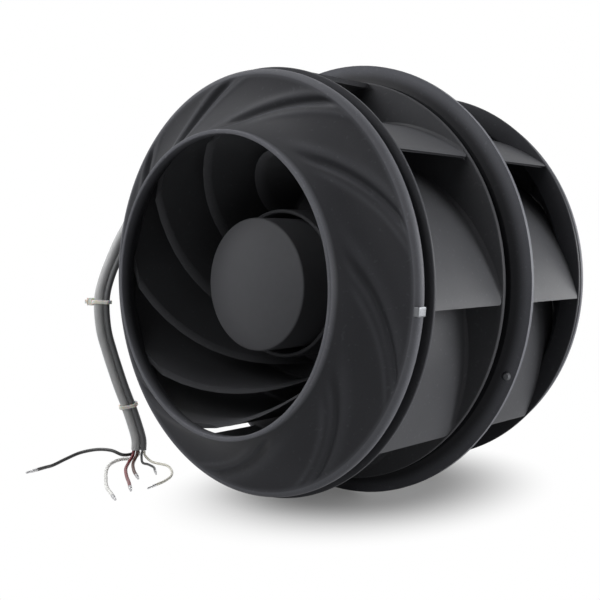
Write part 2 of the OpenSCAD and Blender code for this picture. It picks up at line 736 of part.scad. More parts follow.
module wire_ferrules() color("#b6b8ba") {
    for (route = [black_route, red_route, brown_route, white_route]) ferrule(route, power_wire_d);
    for (route = [ivory_route, grey_route]) ferrule(route, signal_wire_d);
}

front_shroud();
front_blades();
front_plate();
centre_disc();
rear_plate();
rear_blades();
rear_shroud();
disc_screws();
balance_clip();
balance_rivet();
rotor_cup();
rotor_magnets();
motor_shaft();
circlip();
bearing_inner_rings();
bearing_outer_rings();
bearing_balls();
preload_spring();
stator_stack();
stator_coils();
motor_housing();
circuit_board();
board_capacitors();
board_screws();
rear_cover();
cover_screws();
cable_glands();
power_cable();
signal_cable();
cable_ties();
black_lead();
red_lead();
brown_lead();
white_lead();
ivory_lead();
grey_lead();
wire_ferrules();
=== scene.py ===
# %% [markdown]
# # A double-inlet fan wheel
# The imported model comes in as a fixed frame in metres. Its axis of rotation is Y, the front inlet faces -Y and the
# origin is the centre of the motor's mounting face. This lesson gives each visible piece its final surface. Sizes are
# written in millimetres, as on a drawing, and become metres where a point is made.

# %% Load the frame
import math

import bmesh
import bpy
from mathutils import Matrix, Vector


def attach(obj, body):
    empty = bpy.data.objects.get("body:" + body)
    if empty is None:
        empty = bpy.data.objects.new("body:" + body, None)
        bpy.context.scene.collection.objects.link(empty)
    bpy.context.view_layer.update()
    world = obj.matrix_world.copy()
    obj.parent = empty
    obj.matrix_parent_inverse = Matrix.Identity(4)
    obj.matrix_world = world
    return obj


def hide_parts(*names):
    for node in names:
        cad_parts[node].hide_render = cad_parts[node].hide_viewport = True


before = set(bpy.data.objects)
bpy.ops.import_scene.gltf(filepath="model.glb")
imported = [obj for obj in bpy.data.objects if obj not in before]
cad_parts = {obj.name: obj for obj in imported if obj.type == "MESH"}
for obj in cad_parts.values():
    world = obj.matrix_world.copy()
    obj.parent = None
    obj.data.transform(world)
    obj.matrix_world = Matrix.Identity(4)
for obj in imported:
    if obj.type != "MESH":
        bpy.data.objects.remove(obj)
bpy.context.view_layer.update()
scene = bpy.context.scene
MM = 0.001
DISC_Y = -84.0  # middle plane of the centre disc
print("nodes in the frame:", len(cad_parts))

# %% [markdown]
# ## Camera
# The photograph was taken from a little above the axis, to the right of the front inlet. A long lens keeps the two
# inlets nearly the same size. The camera is aimed at a point, which is easier to set than three angles.

# %% Camera
EYE, AIM = Vector((0.39606, -0.55255, 0.02334)), Vector((0.00915, -0.1353, -0.00991))
camera = bpy.data.objects.new("camera", bpy.data.cameras.new("camera"))
scene.collection.objects.link(camera)
camera.location = EYE
camera.rotation_euler = (AIM - EYE).to_track_quat("-Z", "Y").to_euler()
camera.data.lens = 56.94
camera.data.sensor_width = 36
scene.camera = camera
print("camera is", round((AIM - EYE).length, 3), "m from its aim")

# %% [markdown]
# ## Shader arithmetic
# A material is a small sum of textures. Wrapping a socket in a class with +, - and * lets the sum be written as a sum,
# and one method adds any other node. It keeps the materials below short enough to read.


# %% Shader arithmetic
class Wire:
    """An output socket that works in sums like a number."""

    def __init__(self, tree, socket):
        self.tree, self.socket = tree, socket

    @staticmethod
    def add(tree, kind, settings=None, inputs=None, out=0):
        """Adds any node: its type, its settings, what goes into it and which output comes back."""
        node = tree.nodes.new(kind)
        for key, value in (settings or {}).items():
            setattr(node, key, value)
        for key, value in (inputs or {}).items():
            if isinstance(value, Wire):
                tree.links.new(value.socket, node.inputs[key])
            else:
                node.inputs[key].default_value = value
        return Wire(tree, node.outputs[out])

    def math(self, operation, a, b=0.0):
        return Wire.add(self.tree, "ShaderNodeMath", {"operation": operation}, {0: a, 1: b})

    def __add__(self, other):
        return self.math("ADD", self, other)

    def __radd__(self, other):
        return self.math("ADD", other, self)

    def __sub__(self, other):
        return self.math("SUBTRACT", self, other)

    def __rsub__(self, other):
        return self.math("SUBTRACT", other, self)

    def __mul__(self, other):
        return self.math("MULTIPLY", self, other)

    def __rmul__(self, other):
        return self.math("MULTIPLY", other, self)

    def step(self, low, high):
        """0 below low, 1 above high and smooth between."""
        inputs = {"Value": self, "From Min": low, "From Max": high}
        return Wire.add(self.tree, "ShaderNodeMapRange", {"interpolation_type": "SMOOTHSTEP"}, inputs)

    def vector(self, operation, inputs=None, out=0):
        """Vector arithmetic on this vector, with the other inputs by socket."""
        inputs = {0: self, **(inputs or {})}
        return Wire.add(self.tree, "ShaderNodeVectorMath", {"operation": operation}, inputs, out)

    def length(self):
        return self.vector("LENGTH", out="Value")

    def blend(self, first, second):
        """A colour between two colours."""
        inputs = {0: self, 6: (*first, 1), 7: (*second, 1)}
        return Wire.add(self.tree, "ShaderNodeMix", {"data_type": "RGBA"}, inputs, out=2)

    def noise(self, scale, detail=2.0, rough=0.5):
        """Cloudy noise over this vector, about 0.5 on average."""
        inputs = {"Vector": self, "Scale": scale, "Detail": detail, "Roughness": rough}
        return Wire.add(self.tree, "ShaderNodeTexNoise", None, inputs)

    def mapped(self, **inputs):
        """This vector moved or stretched."""
        return Wire.add(self.tree, "ShaderNodeMapping", None, {"Vector": self, **inputs})

    def bump(self, height, depth):
        """The normal of a surface with that height, in metres."""
        return Wire.add(self.tree, "ShaderNodeBump", None, {"Strength": 1.0, "Distance": depth, "Height": height})


print("sums of sockets are ready")

# %% [markdown]
# ## A blank material
# Every finish starts from one shader node. Numbers that are the same all over are set on it directly, and what changes
# over the surface is fed in. Object coordinates are used, because they stay with the piece when it moves.


# %% A blank material
def material(name, **constants):
    """A new material: its shader node's inputs to set, and the object's coordinates to paint over."""
    made = bpy.data.materials.new(name)
    made.use_nodes = True
    shader = made.node_tree.nodes["Principled BSDF"]
    for key, value in constants.items():
        shader.inputs[key.replace("_", " ")].default_value = value
    at = Wire.add(made.node_tree, "ShaderNodeTexCoord", out="Object")
    return made, shader, at


def feed(shader, **wires):
    for key, wire in wires.items():
        wire.tree.links.new(wire.socket, shader.inputs[key.replace("_", " ")])


print("materials before the first finish:", len(bpy.data.materials))

# %% [markdown]
# ## Moulded plastic
# Glass-filled nylon is nearly black. It comes out of the mould with a fine grain, cloudy gloss where the fibres lie
# differently, and a few pale fibre flecks. Painted highlights make edges and flute crests paler and painted shade makes
# flute bottoms darker, on the shrouds from a mesh attribute. On the centre disc a painted highlight on the rim comes
# from the distance to the axis, and the rest of the disc is darker. Other numbers make the cover and the glands.

# %% Moulded plastic
# the centre disc's rim is made paler, a painted highlight, and the rest of the disc darker
EDGE_HIGHLIGHT, MIDDLE_DARKENING = 3.0, 0.45
EDGE_FROM, EDGE_TO = 0.127, 0.1345  # radius in metres


def by_attribute(at):
    """The painted highlights and painted shade of a shroud, as its mesh says."""
    return Wire.add(at.tree, "ShaderNodeAttribute", {"attribute_name": "painted_light"}, out="Fac")


def by_radius(at):
    """A painted highlight on the centre disc's rim and a darker middle, by the distance from the axis."""
    r = at.vector("MULTIPLY", {1: (1, 0, 1)}).length()
    return r.step(EDGE_FROM, EDGE_TO) * EDGE_HIGHLIGHT - MIDDLE_DARKENING


def moulded(name, dark, light, rough, flecks=0.5, shine=0.18, light_paint=by_attribute):
    """A moulded finish between two colours, with painted light scaling its colour."""
    made, shader, at = material(name, Specular_IOR_Level=shine)
    cloud = at.noise(scale=18, detail=4, rough=0.6)
    fine = at.noise(scale=1400, detail=2, rough=0.6)
    fleck = at.noise(scale=420, detail=1, rough=0.3).step(0.66, 0.78)
    tone = (cloud - 0.5) * 0.9 + (fine - 0.5) * 0.5 + 0.5 + fleck * flecks
    # the colour is scaled up by painted highlights and down by painted shade
    feed(shader, Base_Color=tone.blend(dark, light).vector("SCALE", {"Scale": light_paint(at) + 1.0}))
    feed(shader, Roughness=rough + (cloud - 0.5) * 0.22 + (fine - 0.5) * 0.12, Normal=at.bump(fine, 0.00003))
    return made


SHROUD = moulded("shroud_plastic", (0.028, 0.0285, 0.032), (0.047, 0.048, 0.053), 0.44, shine=0.05)
DISC = moulded("disc_plastic", (0.026, 0.0265, 0.030), (0.043, 0.044, 0.049), 0.44, shine=0.05, light_paint=by_radius)
WHEEL = moulded("wheel_plastic", (0.046, 0.047, 0.051), (0.073, 0.074, 0.080), 0.44, shine=0.06)
COVER = moulded("cover_plastic", (0.030, 0.031, 0.034), (0.048, 0.049, 0.053), 0.5, shine=0.4)
RUBBER = moulded("gland_rubber", (0.012, 0.012, 0.013), (0.022, 0.022, 0.023), 0.7, flecks=0.0)
print("plastics:", SHROUD.name, DISC.name, WHEEL.name, COVER.name, RUBBER.name)

# %% [markdown]
# ## Metals and the coated rotor
# Turned and drawn steel shows fine lines, cast aluminium a coarse cloudy skin. Stretching the noise along one axis
# makes the lines, so one function serves all of them. The rotor's coating is smooth, with a faint orange peel that
# only breaks up its highlight.

# %% Metals and the coated rotor
EVEN, ALONG, STACKED = (1, 1, 1), (1, 0.05, 1), (0.02, 1, 0.02)


def metal(name, dark, light, rough, stretch, scale, depth=0.00001, **constants):
    """A metal between two colours, with lines along the axes that are stretched."""
    made, shader, at = material(name, **{"Metallic": 1.0, **constants})
    lines = at.mapped(Scale=stretch).noise(scale, detail=3, rough=0.6)
    cloud = at.noise(scale=60, detail=3, rough=0.5)
    feed(shader, Base_Color=(lines * 0.6 + cloud * 0.4).blend(dark, light))
    feed(shader, Roughness=rough + (lines - 0.5) * 0.2 + (cloud - 0.5) * 0.15, Normal=at.bump(lines, depth))
    return made


STEEL = metal("steel", (0.09, 0.094, 0.10), (0.17, 0.175, 0.185), 0.5, ALONG, 2500)
RACE = metal("bearing_steel", (0.52, 0.53, 0.54), (0.68, 0.69, 0.70), 0.14, ALONG, 3000, 0.000004)
SHEET = metal("lamination", (0.12, 0.125, 0.13), (0.24, 0.25, 0.26), 0.45, STACKED, 1600, 0.00005)
CAST = metal("housing_cast", (0.19, 0.195, 0.20), (0.29, 0.295, 0.305), 0.62, EVEN, 700, 0.00005)
TIN = metal("tin", (0.38, 0.38, 0.39), (0.58, 0.58, 0.59), 0.34, EVEN, 1800, 0.00002)
COPPER = metal("copper", (0.34, 0.12, 0.04), (0.60, 0.27, 0.10), 0.32, (1, 0.1, 1), 1500, 0.0001)
FERRITE = metal("magnet", (0.03, 0.03, 0.033), (0.07, 0.07, 0.075), 0.6, EVEN, 1200, 0.00003, Metallic=0.2)
ROTOR = metal("rotor_coat", (0.072, 0.073, 0.079), (0.091, 0.092, 0.099), 0.42, EVEN, 260, Metallic=0.0,
              Specular_IOR_Level=0.08)
print("metals:", STEEL.name, RACE.name, SHEET.name, CAST.name, TIN.name, COPPER.name, FERRITE.name, ROTOR.name)

# %% [markdown]
# ## Jackets, wires, ties and the board
# Soft vinyl has a dull skin with faint handling marks. Wire insulation is smoother and glossier, and natural nylon
# lets a little light in.


# %% Jackets, wires, ties and the board
def vinyl(name, dark, light, rough, **constants):
    """A smooth insulation between two colours, with smears that change its gloss."""
    made, shader, at = material(name, **constants)
    smear = at.noise(scale=90, detail=4, rough=0.65)
    fine = at.noise(scale=2600, detail=2, rough=0.5)
    feed(shader, Base_Color=(smear * 0.7 + fine * 0.3).blend(dark, light), Normal=at.bump(fine, 0.000006))
    feed(shader, Roughness=rough + (smear - 0.5) * 0.25)
    return made


JACKETS = {
    "power_jacket": vinyl("power_jacket", (0.40, 0.405, 0.41), (0.54, 0.545, 0.55), 0.5),
    "signal_jacket": vinyl("signal_jacket", (0.07, 0.072, 0.076), (0.12, 0.122, 0.127), 0.5),
    "lead_black": vinyl("lead_black", (0.010, 0.010, 0.011), (0.022, 0.022, 0.023), 0.36),
    "lead_red": vinyl("lead_red", (0.13, 0.014, 0.02), (0.21, 0.026, 0.032), 0.36),
    "lead_brown": vinyl("lead_brown", (0.055, 0.022, 0.016), (0.09, 0.038, 0.028), 0.36),
    "lead_white": vinyl("lead_white", (0.78, 0.78, 0.75), (0.90, 0.90, 0.87), 0.36),
    "lead_ivory": vinyl("lead_ivory", (0.72, 0.70, 0.60), (0.84, 0.82, 0.73), 0.36),
    "lead_grey": vinyl("lead_grey", (0.024, 0.026, 0.029), (0.042, 0.044, 0.047), 0.36),
}
NYLON = vinyl("tie_nylon", (0.72, 0.70, 0.63), (0.86, 0.84, 0.78), 0.34, Subsurface_Weight=0.3, Subsurface_Scale=0.002)
BOARD = vinyl("board", (0.010, 0.085, 0.04), (0.025, 0.15, 0.075), 0.35)
SLEEVE = vinyl("capacitor", (0.02, 0.024, 0.05), (0.045, 0.05, 0.09), 0.3)
print("jackets:", len(JACKETS), "and", NYLON.name, BOARD.name, SLEEVE.name)

# %% [markdown]
# ## Turned shapes
# Shrouds, plates and ferrules are all turned, so each starts as a half section. Rounding every corner of the section a
# little gives the edges a line of light, as a moulded edge has. The spin operator turns the section about an axis, and
# the seam is merged before the normals are put right.


# %% Turned shapes
def rounded(section, cuts=3):
    """A closed section of (radius, height, corner radius) with its corners rounded, in millimetres."""
    points = []
    for (ar, az, _), (r, z, corner), (br, bz, _) in zip(section[-1:] + section, section, section[1:] + section[:1]):
        if corner == 0:
            points.append((r, z))
            continue
        p = Vector((r, z))
        a, b = (Vector((ar, az)) - p).normalized(), (Vector((br, bz)) - p).normalized()
        half = a.angle(b) / 2
        middle = p + (a + b).normalized() * corner / math.sin(half)
        start, end = p + a * corner / math.tan(half), p + b * corner / math.tan(half)
        sweep = (start - middle).angle_signed(end - middle)
        for k in range(cuts + 1):
            turn = -sweep * k / cuts
            d = start - middle
            points.append((middle.x + d.x * math.cos(turn) - d.y * math.sin(turn),
                           middle.y + d.x * math.sin(turn) + d.y * math.cos(turn)))
    return points


def on_axis(r, angle, z):
    """A point of the part, from its radius and height in millimetres and its angle in radians."""
    return Vector((r * math.cos(angle), DISC_Y - z, r * math.sin(angle))) * MM


def spun(bm, section, steps, start=on_axis(0, 0, 0), along=Vector((0, -1, 0)), side=Vector((1, 0, 0)), closed=True):
    """Turns a section of (radius, height) about an axis that starts at a point."""
    verts = [bm.verts.new(start + (side * r + along * z) * MM) for r, z in section]
    edges = [bm.edges.new(pair) for pair in zip(verts, verts[1:])]
    if closed:
        edges.append(bm.edges.new((verts[-1], verts[0])))
    bmesh.ops.spin(bm, geom=verts + edges, cent=start, axis=along, angle=2 * math.pi, steps=steps, use_merge=True)


print("a 10 mm square with round corners has", len(rounded([(0, 0, 1), (10, 0, 1), (10, 10, 1), (0, 10, 1)])), "points")

# %% [markdown]
# ## Finished pieces
# Every new piece ends the same way. Its doubles are merged, its normals point outwards and its faces are smooth except
# at sharp corners. Then it is tied to the body that it moves with and takes the place of its nodes in the frame.


# %% Finished pieces
def piece(bm, name, body, paint, nodes, sharp=40):
    """Makes an object of a mesh that rides on a body and stands for some nodes."""
    bmesh.ops.remove_doubles(bm, verts=bm.verts, dist=1e-7)
    bmesh.ops.recalc_face_normals(bm, faces=bm.faces)
    mesh = bpy.data.meshes.new(name)
    bm.to_mesh(mesh)
    bm.free()
    mesh.shade_smooth()
    mesh.set_sharp_from_angle(angle=math.radians(sharp))
    mesh.materials.append(paint)
    made = bpy.data.objects.new(name, mesh)
    scene.collection.objects.link(made)
    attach(made, body)
    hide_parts(*nodes)
    print(name, len(mesh.polygons), "faces")
    return made


print("pieces can be finished")

# %% [markdown]
# ## Spiral flutes
# Nine flutes run over each shroud, in the same sense as the blades below. The outer side of a flute drops steeply from
# a slightly raised edge and the inner side climbs out gently, so one side stays dark and the other catches the light.
# They could be carved along nine curves, but depth and painted light depend only on the distance from the nearest
# spiral, so a formula gives both at any point. The painted light is painted highlights along the flute edges and
# painted shade in the flute bottoms.

# %% Spiral flutes
BLADES = 9
TIP_R = 123.4
BELL_R, BELL_Z, BELL, BELL_IN = 120.0, 126.2, 38.0, 40.4  # the arc's centre, its radius outside and inside
FLUTE_SLOPE, FLUTE_TURN, FLUTE_DEPTH = 24.5, 12.5, 2.0
FLUTE_OUTER, FLUTE_BOTTOM, FLUTE_INNER = -4.6, -1.2, 1.8
FLUTE_START, FLUTE_FULL, FLUTE_RUNOUT = 88.0, 95.0, 4.0
RAISED = [(3.0, 2.2, 0.6), (-6.8, 1.6, 0.4)]  # place across the flute, width and height
# painted highlights along the flute edges and painted shade in the flute bottom
FLUTE_LIGHT = [(3.4, 3.2, 0.4), (-3.0, 1.2, 0.8), (-6.8, 1.3, 0.5), (0.0, 1.4, -0.25)]  # place, width and painted light


def spiral(r, start, slope):
    """Angle of a logarithmic spiral at a radius, if it passes the blade tips at its start. All in degrees."""
    return start + math.degrees(math.log(TIP_R / r) / math.tan(math.radians(slope)))


def ease(x, low, high):
    t = min(1, max(0, (x - low) / (high - low)))
    return t * t * (3 - 2 * t)


def humps(x, shapes):
    """A sum of round humps, each given by its middle, width and height."""
    return sum(height * math.exp(-((x - middle) / width) ** 2) for middle, width, height in shapes)


def flute(r, angle):
    """Depth of the flutes at a point of the bell, in millimetres, and the painted highlight and shade there."""
    pitch = 360 / BLADES
    off = (math.degrees(angle) - spiral(r, FLUTE_TURN, FLUTE_SLOPE) + pitch / 2) % pitch - pitch / 2
    across = math.radians(off) * r * math.sin(math.radians(FLUTE_SLOPE))
    fold = ease(across, FLUTE_OUTER, FLUTE_BOTTOM) - ease(across, FLUTE_BOTTOM, FLUTE_INNER)
    ends = ease(r, FLUTE_START, FLUTE_FULL) * ease(BELL_R - r, 0, FLUTE_RUNOUT)
    return (FLUTE_DEPTH * fold - humps(across, RAISED)) * ends, humps(across, FLUTE_LIGHT) * ends


print("deepest flute at mid bell:", round(max(flute(105, math.radians(k / 4))[0] for k in range(160)), 2), "mm")

# %% [markdown]
# ## Shrouds
# A shroud is the bell that leads air into one half of the wheel. Its section has a collar round the inlet, an arc that
# opens to the lip, a groove and a rim. It is turned in one go, and the flutes are pressed in afterwards by moving the
# points of both arcs. Painted highlights are put on the inlet edge, the bend, the lip and the rim, and painted
# highlights and shade along the flutes.

# %% Shrouds
INLET_Z, INLET_IN, INLET_OUT = 112.66, 84.6, 87.0
LIP_R, LIP_Z, LIP_TOP = 123.0, 82.8, BELL_Z - BELL
GROOVE_R, FAIRING_R = 115.0, 112.5
RIM_R, RIM_Z, RIM_TOP = 125.0, 76.2, 78.2
BELL_TURNS, BELL_IN_TURNS = (209.7, 270.0), (246.3, 208.8)  # ends of the arc outside and inside, in degrees
BELL_STEPS = 70 * BLADES
# painted highlights on the inlet edge, the lip, the bend into the lip and the rim
INLET_HIGHLIGHT, LIP_HIGHLIGHT, BEND_HIGHLIGHT, RIM_HIGHLIGHT = 2.4, 1.9, 0.9, 0.4
INLET_EDGE, LIP_EDGE, BEND_R = 0.7, 1.0, 117.0  # how far the painted highlights reach


def arc(radius, first, last, count):
    """Points of the bell's arc between two angles in degrees."""
    turns = [math.radians(first + (last - first) * k / count) for k in range(count + 1)]
    return [(BELL_R + radius * math.cos(t), BELL_Z + radius * math.sin(t), 0) for t in turns]


SHROUD_SECTION = rounded(
    [(INLET_IN, INLET_Z, 0.6), (INLET_OUT, INLET_Z, 0.6)] + arc(BELL, *BELL_TURNS, 64)
    + [(LIP_R, LIP_TOP, 2.9), (LIP_R, LIP_Z, 1.2), (GROOVE_R, LIP_Z, 0.8), (GROOVE_R, RIM_TOP, 0.8),
       (RIM_R, RIM_TOP, 0.6), (RIM_R, RIM_Z, 0.6), (FAIRING_R, RIM_Z, 1.5)]
    + arc(BELL_IN, *BELL_IN_TURNS, 16))


def shroud(name, side, node):
    """A fluted shroud of the front half, with side 1, or of the rear half, with side -1."""
    bm = bmesh.new()
    spun(bm, [(r, side * z) for r, z in SHROUD_SECTION], BELL_STEPS)
    # the mesh carries painted highlights and painted shade for the material
    painted_light = bm.verts.layers.float.new("painted_light")
    for v in bm.verts:
        r, z = math.hypot(v.co.x, v.co.z) / MM, side * (DISC_Y - v.co.y / MM)
        out = Vector((r - BELL_R, z - BELL_Z))
        on_arc = min(abs(out.length - BELL), abs(out.length - BELL_IN)) < 0.01
        if on_arc and INLET_OUT < r < BELL_R:
            angle = math.atan2(v.co.z, v.co.x)
            depth, light_paint = flute(r, angle)
            # painted highlights along the flute crests and the bend, painted shade in the flute bottoms
            v[painted_light] = light_paint + BEND_HIGHLIGHT * ease(r, BEND_R, BELL_R)
            moved = Vector((r, z)) + out.normalized() * depth
            v.co = on_axis(moved.x, angle, side * moved.y)
        elif z > INLET_Z - INLET_EDGE:
            v[painted_light] = INLET_HIGHLIGHT
        elif r > BELL_R - 0.1:
            v[painted_light] = LIP_HIGHLIGHT if z > LIP_Z + LIP_EDGE else RIM_HIGHLIGHT
    return piece(bm, name, "rotor", SHROUD, [node])


shroud("front_bell", 1, "front_shroud")
shroud("rear_bell", -1, "rear_shroud")

# %% [markdown]
# ## Back plates
# The two halves of the wheel sit back to back on the centre disc. Each back plate is turned in one piece with its hub
# sleeve and the two rings that seat it on the disc, so a single section does it.

# %% Back plates
HUB_IN, HUB_OUT, HUB_TOP = 42.1, 44.5, 59.0
PLATE_Z, PLATE_BACK = 12.7, 9.7


def seat(inner, outer, foot):
    """The corners of a seat ring on the plate's back, from its outer side to its inner side."""
    return [(outer, PLATE_BACK, 0.4), (outer, foot, 0.3), (inner, foot, 0.3), (inner, PLATE_BACK, 0.4)]


PLATE_SECTION = rounded(
    [(HUB_IN, HUB_TOP, 0.8), (HUB_OUT, HUB_TOP, 0.8), (HUB_OUT, PLATE_Z, 3.0), (RIM_R, PLATE_Z, 0.7),
     (RIM_R, PLATE_BACK, 0.7)] + seat(111.5, 116.0, 4.5) + seat(57.5, 60.5, 1.5) + [(HUB_IN, PLATE_BACK, 0.6)])
SIDES = {"front": 1, "rear": -1}
for half, side in SIDES.items():
    bm = bmesh.new()
    spun(bm, [(r, side * z) for r, z in PLATE_SECTION], 360)
    piece(bm, half + "_back_plate", "rotor", WHEEL, [half + "_plate"])

# %% [markdown]
# ## The shape of a blade
# A blade follows a logarithmic spiral, so it meets every circle at the same angle. Its leading edge is swept back from
# the plate to the shroud, and its top stays just under the shroud's inside. A point of it is found from two shares: how
# far it is from nose to tip, and from plate to shroud.

# %% The shape of a blade
BLADE_SLOPE, BLADE_TURN, BLADE_T = 19.0, -4.2, 2.6
LEAD_R, LEAD_CURVE = 53.5, 182.0
ROOT_SINK, SHROUD_GAP = 0.8, 0.15
FAIRING_END_R, FAIRING_END_Z = 103.7, 89.2


def lead(z):
    """Radius of a leading edge at a height."""
    return LEAD_R + LEAD_CURVE - math.sqrt(LEAD_CURVE ** 2 - z * z)


def ceiling(r):
    """Height of the shroud's inside over a blade, less a small gap."""
    if r > FAIRING_R:
        return RIM_Z - SHROUD_GAP
    bell = BELL_Z - math.sqrt((BELL_IN + SHROUD_GAP) ** 2 - (BELL_R - max(r, INLET_IN)) ** 2)
    fairing = RIM_Z + (FAIRING_R - r) * (FAIRING_END_Z - RIM_Z) / (FAIRING_R - FAIRING_END_R)
    return min(bell, fairing) - SHROUD_GAP


def blade_point(u, v, tip):
    """Radius and height on one side of a blade: u runs from nose to tip, v from plate to shroud."""
    root = z = PLATE_Z - ROOT_SINK
    for _ in range(12):
        r = lead(z) + (tip - lead(z)) * u
        z = root + (ceiling(r) - root) * v
    return r, z


print("a blade's nose rises from", [round(x, 1) for x in blade_point(0, 0, TIP_R)], "to",
      [round(x, 1) for x in blade_point(0, 1, TIP_R)], "mm")

# %% [markdown]
# ## Sections of a blade
# A blade has a round nose, a square tip with broken edges and a small fillet where it grows out of the plate. All three
# are changes of its thickness, so they are written as one function. Points are close together at the nose and rows are
# close together in the fillet, where the shape turns fastest.

# %% Sections of a blade
FILLET_H, FILLET_W, TIP_BREAK = 2.2, 2.0, 0.35
SIN_SLOPE, COS_SLOPE = math.sin(math.radians(BLADE_SLOPE)), math.cos(math.radians(BLADE_SLOPE))
NOSE_TO_TIP = [(k / 44) ** 1.3 * 0.994 for k in range(45)] + [1]
LEVELS = [0, 0.012, 0.022, 0.032, 0.045, 0.06] + [0.08 + 0.92 * k / 14 for k in range(15)]


def blade_half(u, r, z):
    """Half of a blade's thickness at a point."""
    root = max(0, FILLET_H - (z - PLATE_Z)) / FILLET_H
    half = BLADE_T / 2 + FILLET_W * (1 - math.sqrt(max(0, 1 - root * root)))
    nose = (r - lead(z)) / SIN_SLOPE
    if nose < half:
        return math.sqrt(max(0, half * half - (half - nose) ** 2))
    return half - TIP_BREAK if u == 1 else half


def blade_section(v):
    """A blade's closed section at one level, as (radius, angle, height) along its outer side and back."""
    sides = ([], [])
    for u in NOSE_TO_TIP:
        for line, sign in zip(sides, (1, -1)):
            r, z = blade_point(u, v, TIP_R + sign * BLADE_T / 2 * COS_SLOPE)
            lean = sign * blade_half(u, r, z) / (r * SIN_SLOPE)
            if u > 0 or sign > 0:
                line.append((r, math.radians(spiral(r, BLADE_TURN, BLADE_SLOPE)) + lean, z))
    return sides[0] + sides[1][::-1]


SECTIONS = [blade_section(v) for v in LEVELS]
print("blade sections:", len(SECTIONS), "with", len(SECTIONS[0]), "points each")

# %% [markdown]
# ## Blades
# Sections that change from level to level can't be spun or extruded, so they are drawn as loops of edges and bridged.
# The ends are closed by bridging the two long sides of a section, which leaves neat strips where one large face would
# bend badly, and a three-sided hole at the nose.


# %% Blades
def loft(bm, rings, closed=False):
    """Bridges closed rings of points, each with the next, and gives back the edges of each ring."""
    loops = []
    for ring in rings:
        verts = [bm.verts.new(p) for p in ring]
        loops.append([bm.edges.new(pair) for pair in zip(verts, verts[1:] + verts[:1])])
    for low, high in zip(loops, loops[1:] + loops[:1] if closed else loops[1:]):
        bmesh.ops.bridge_loops(bm, edges=low + high)
    return loops


for half, side in SIDES.items():
    bm = bmesh.new()
    for k in range(BLADES):
        turn = k * 2 * math.pi / BLADES
        loops = loft(bm, [[on_axis(r, a + turn, side * z) for r, a, z in section] for section in SECTIONS])
        for end in (loops[0], loops[-1]):
            tip = len(end) // 2
            bmesh.ops.bridge_loops(bm, edges=end[1:tip] + end[tip + 1:-1])
    bmesh.ops.holes_fill(bm, edges=bm.edges, sides=3)
    piece(bm, half + "_blade_set", "rotor", WHEEL, [half + "_blades"])

# %% [markdown]
# ## Rotor cup
# The motor's outer shell turns with the wheel. It is a drawn steel cup with a shallow crown, a rounded shoulder and a
# flange that the centre disc is screwed to. Its section starts and ends on the axis, so it is left open there.

# %% Rotor cup
CROWN, CROWN_R, CUP_H, CUP_R, CUP_WALL = 115.0, 37.5, 87.0, 39.0, 3.0
SHOULDER_Z, CUP_INSIDE_Z = 80.2, 77.0
FLANGE_R, FLANGE_FRONT, FLANGE_BACK = 56.0, -1.5, -4.5
crown = [math.asin(CROWN_R / CROWN) * k / 24 for k in range(25)]
CUP_SECTION = rounded(
    [(CROWN * math.sin(t), CUP_H - CROWN + CROWN * math.cos(t), 0) for t in crown]
    + [(CUP_R, SHOULDER_Z, 1.2), (CUP_R, FLANGE_FRONT, 1.0), (FLANGE_R, FLANGE_FRONT, 0.4),
       (FLANGE_R, FLANGE_BACK, 0.4), (CUP_R - CUP_WALL, FLANGE_BACK, 0.4), (CUP_R - CUP_WALL, CUP_INSIDE_Z, 2.0),
       (0, CUP_H - CUP_WALL, 0)])
bm = bmesh.new()
spun(bm, CUP_SECTION, 240, closed=False)
piece(bm, "rotor_shell", "rotor", ROTOR, ["rotor_cup"], sharp=60)

# %% [markdown]
# ## Balance clip
# The clip is a strip of spring steel bent round the front lip. Its bent section is repeated over a few degrees about
# the axis and bridged, so that it follows the lip. Its ends are filled and their edges bevelled.

# %% Balance clip
CLIP_IN, CLIP_T, CLIP_GAP = 120.5, 0.6, 0.05
CLIP_TURN, CLIP_HALF = -4.6, 1.16
top, face, foot = LIP_TOP + CLIP_GAP, LIP_R + CLIP_GAP, LIP_Z - CLIP_GAP
CLIP_SECTION = rounded([
    (CLIP_IN, top, 0.1), (face, top, 0.3), (face, foot, 0.3), (CLIP_IN, foot, 0.1), (CLIP_IN, foot - CLIP_T, 0.2),
    (face + CLIP_T, foot - CLIP_T, 0.8), (face + CLIP_T, top + CLIP_T, 0.8), (CLIP_IN, top + CLIP_T, 0.2)])
turns = [math.radians(CLIP_TURN + CLIP_HALF * (k / 3 - 1)) for k in range(7)]
bm = bmesh.new()
loops = loft(bm, [[on_axis(r, turn, z) for r, z in CLIP_SECTION] for turn in turns])
ends = loops[0] + loops[-1]
bmesh.ops.holes_fill(bm, edges=ends, sides=0)
bmesh.ops.bevel(bm, geom=ends, offset=0.12 * MM, segments=2, profile=0.5, affect="EDGES", material=-1)
piece(bm, "clip_spring", "rotor", STEEL, ["balance_clip"])

# %% [markdown]
# ## Routes of cables and leads
# Two cables leave the lid behind, go round the wheel and end on the floor in six thin leads. Each route is a list of
# points in millimetres from the exit to the end, and is the same as that of the solid in the frame.

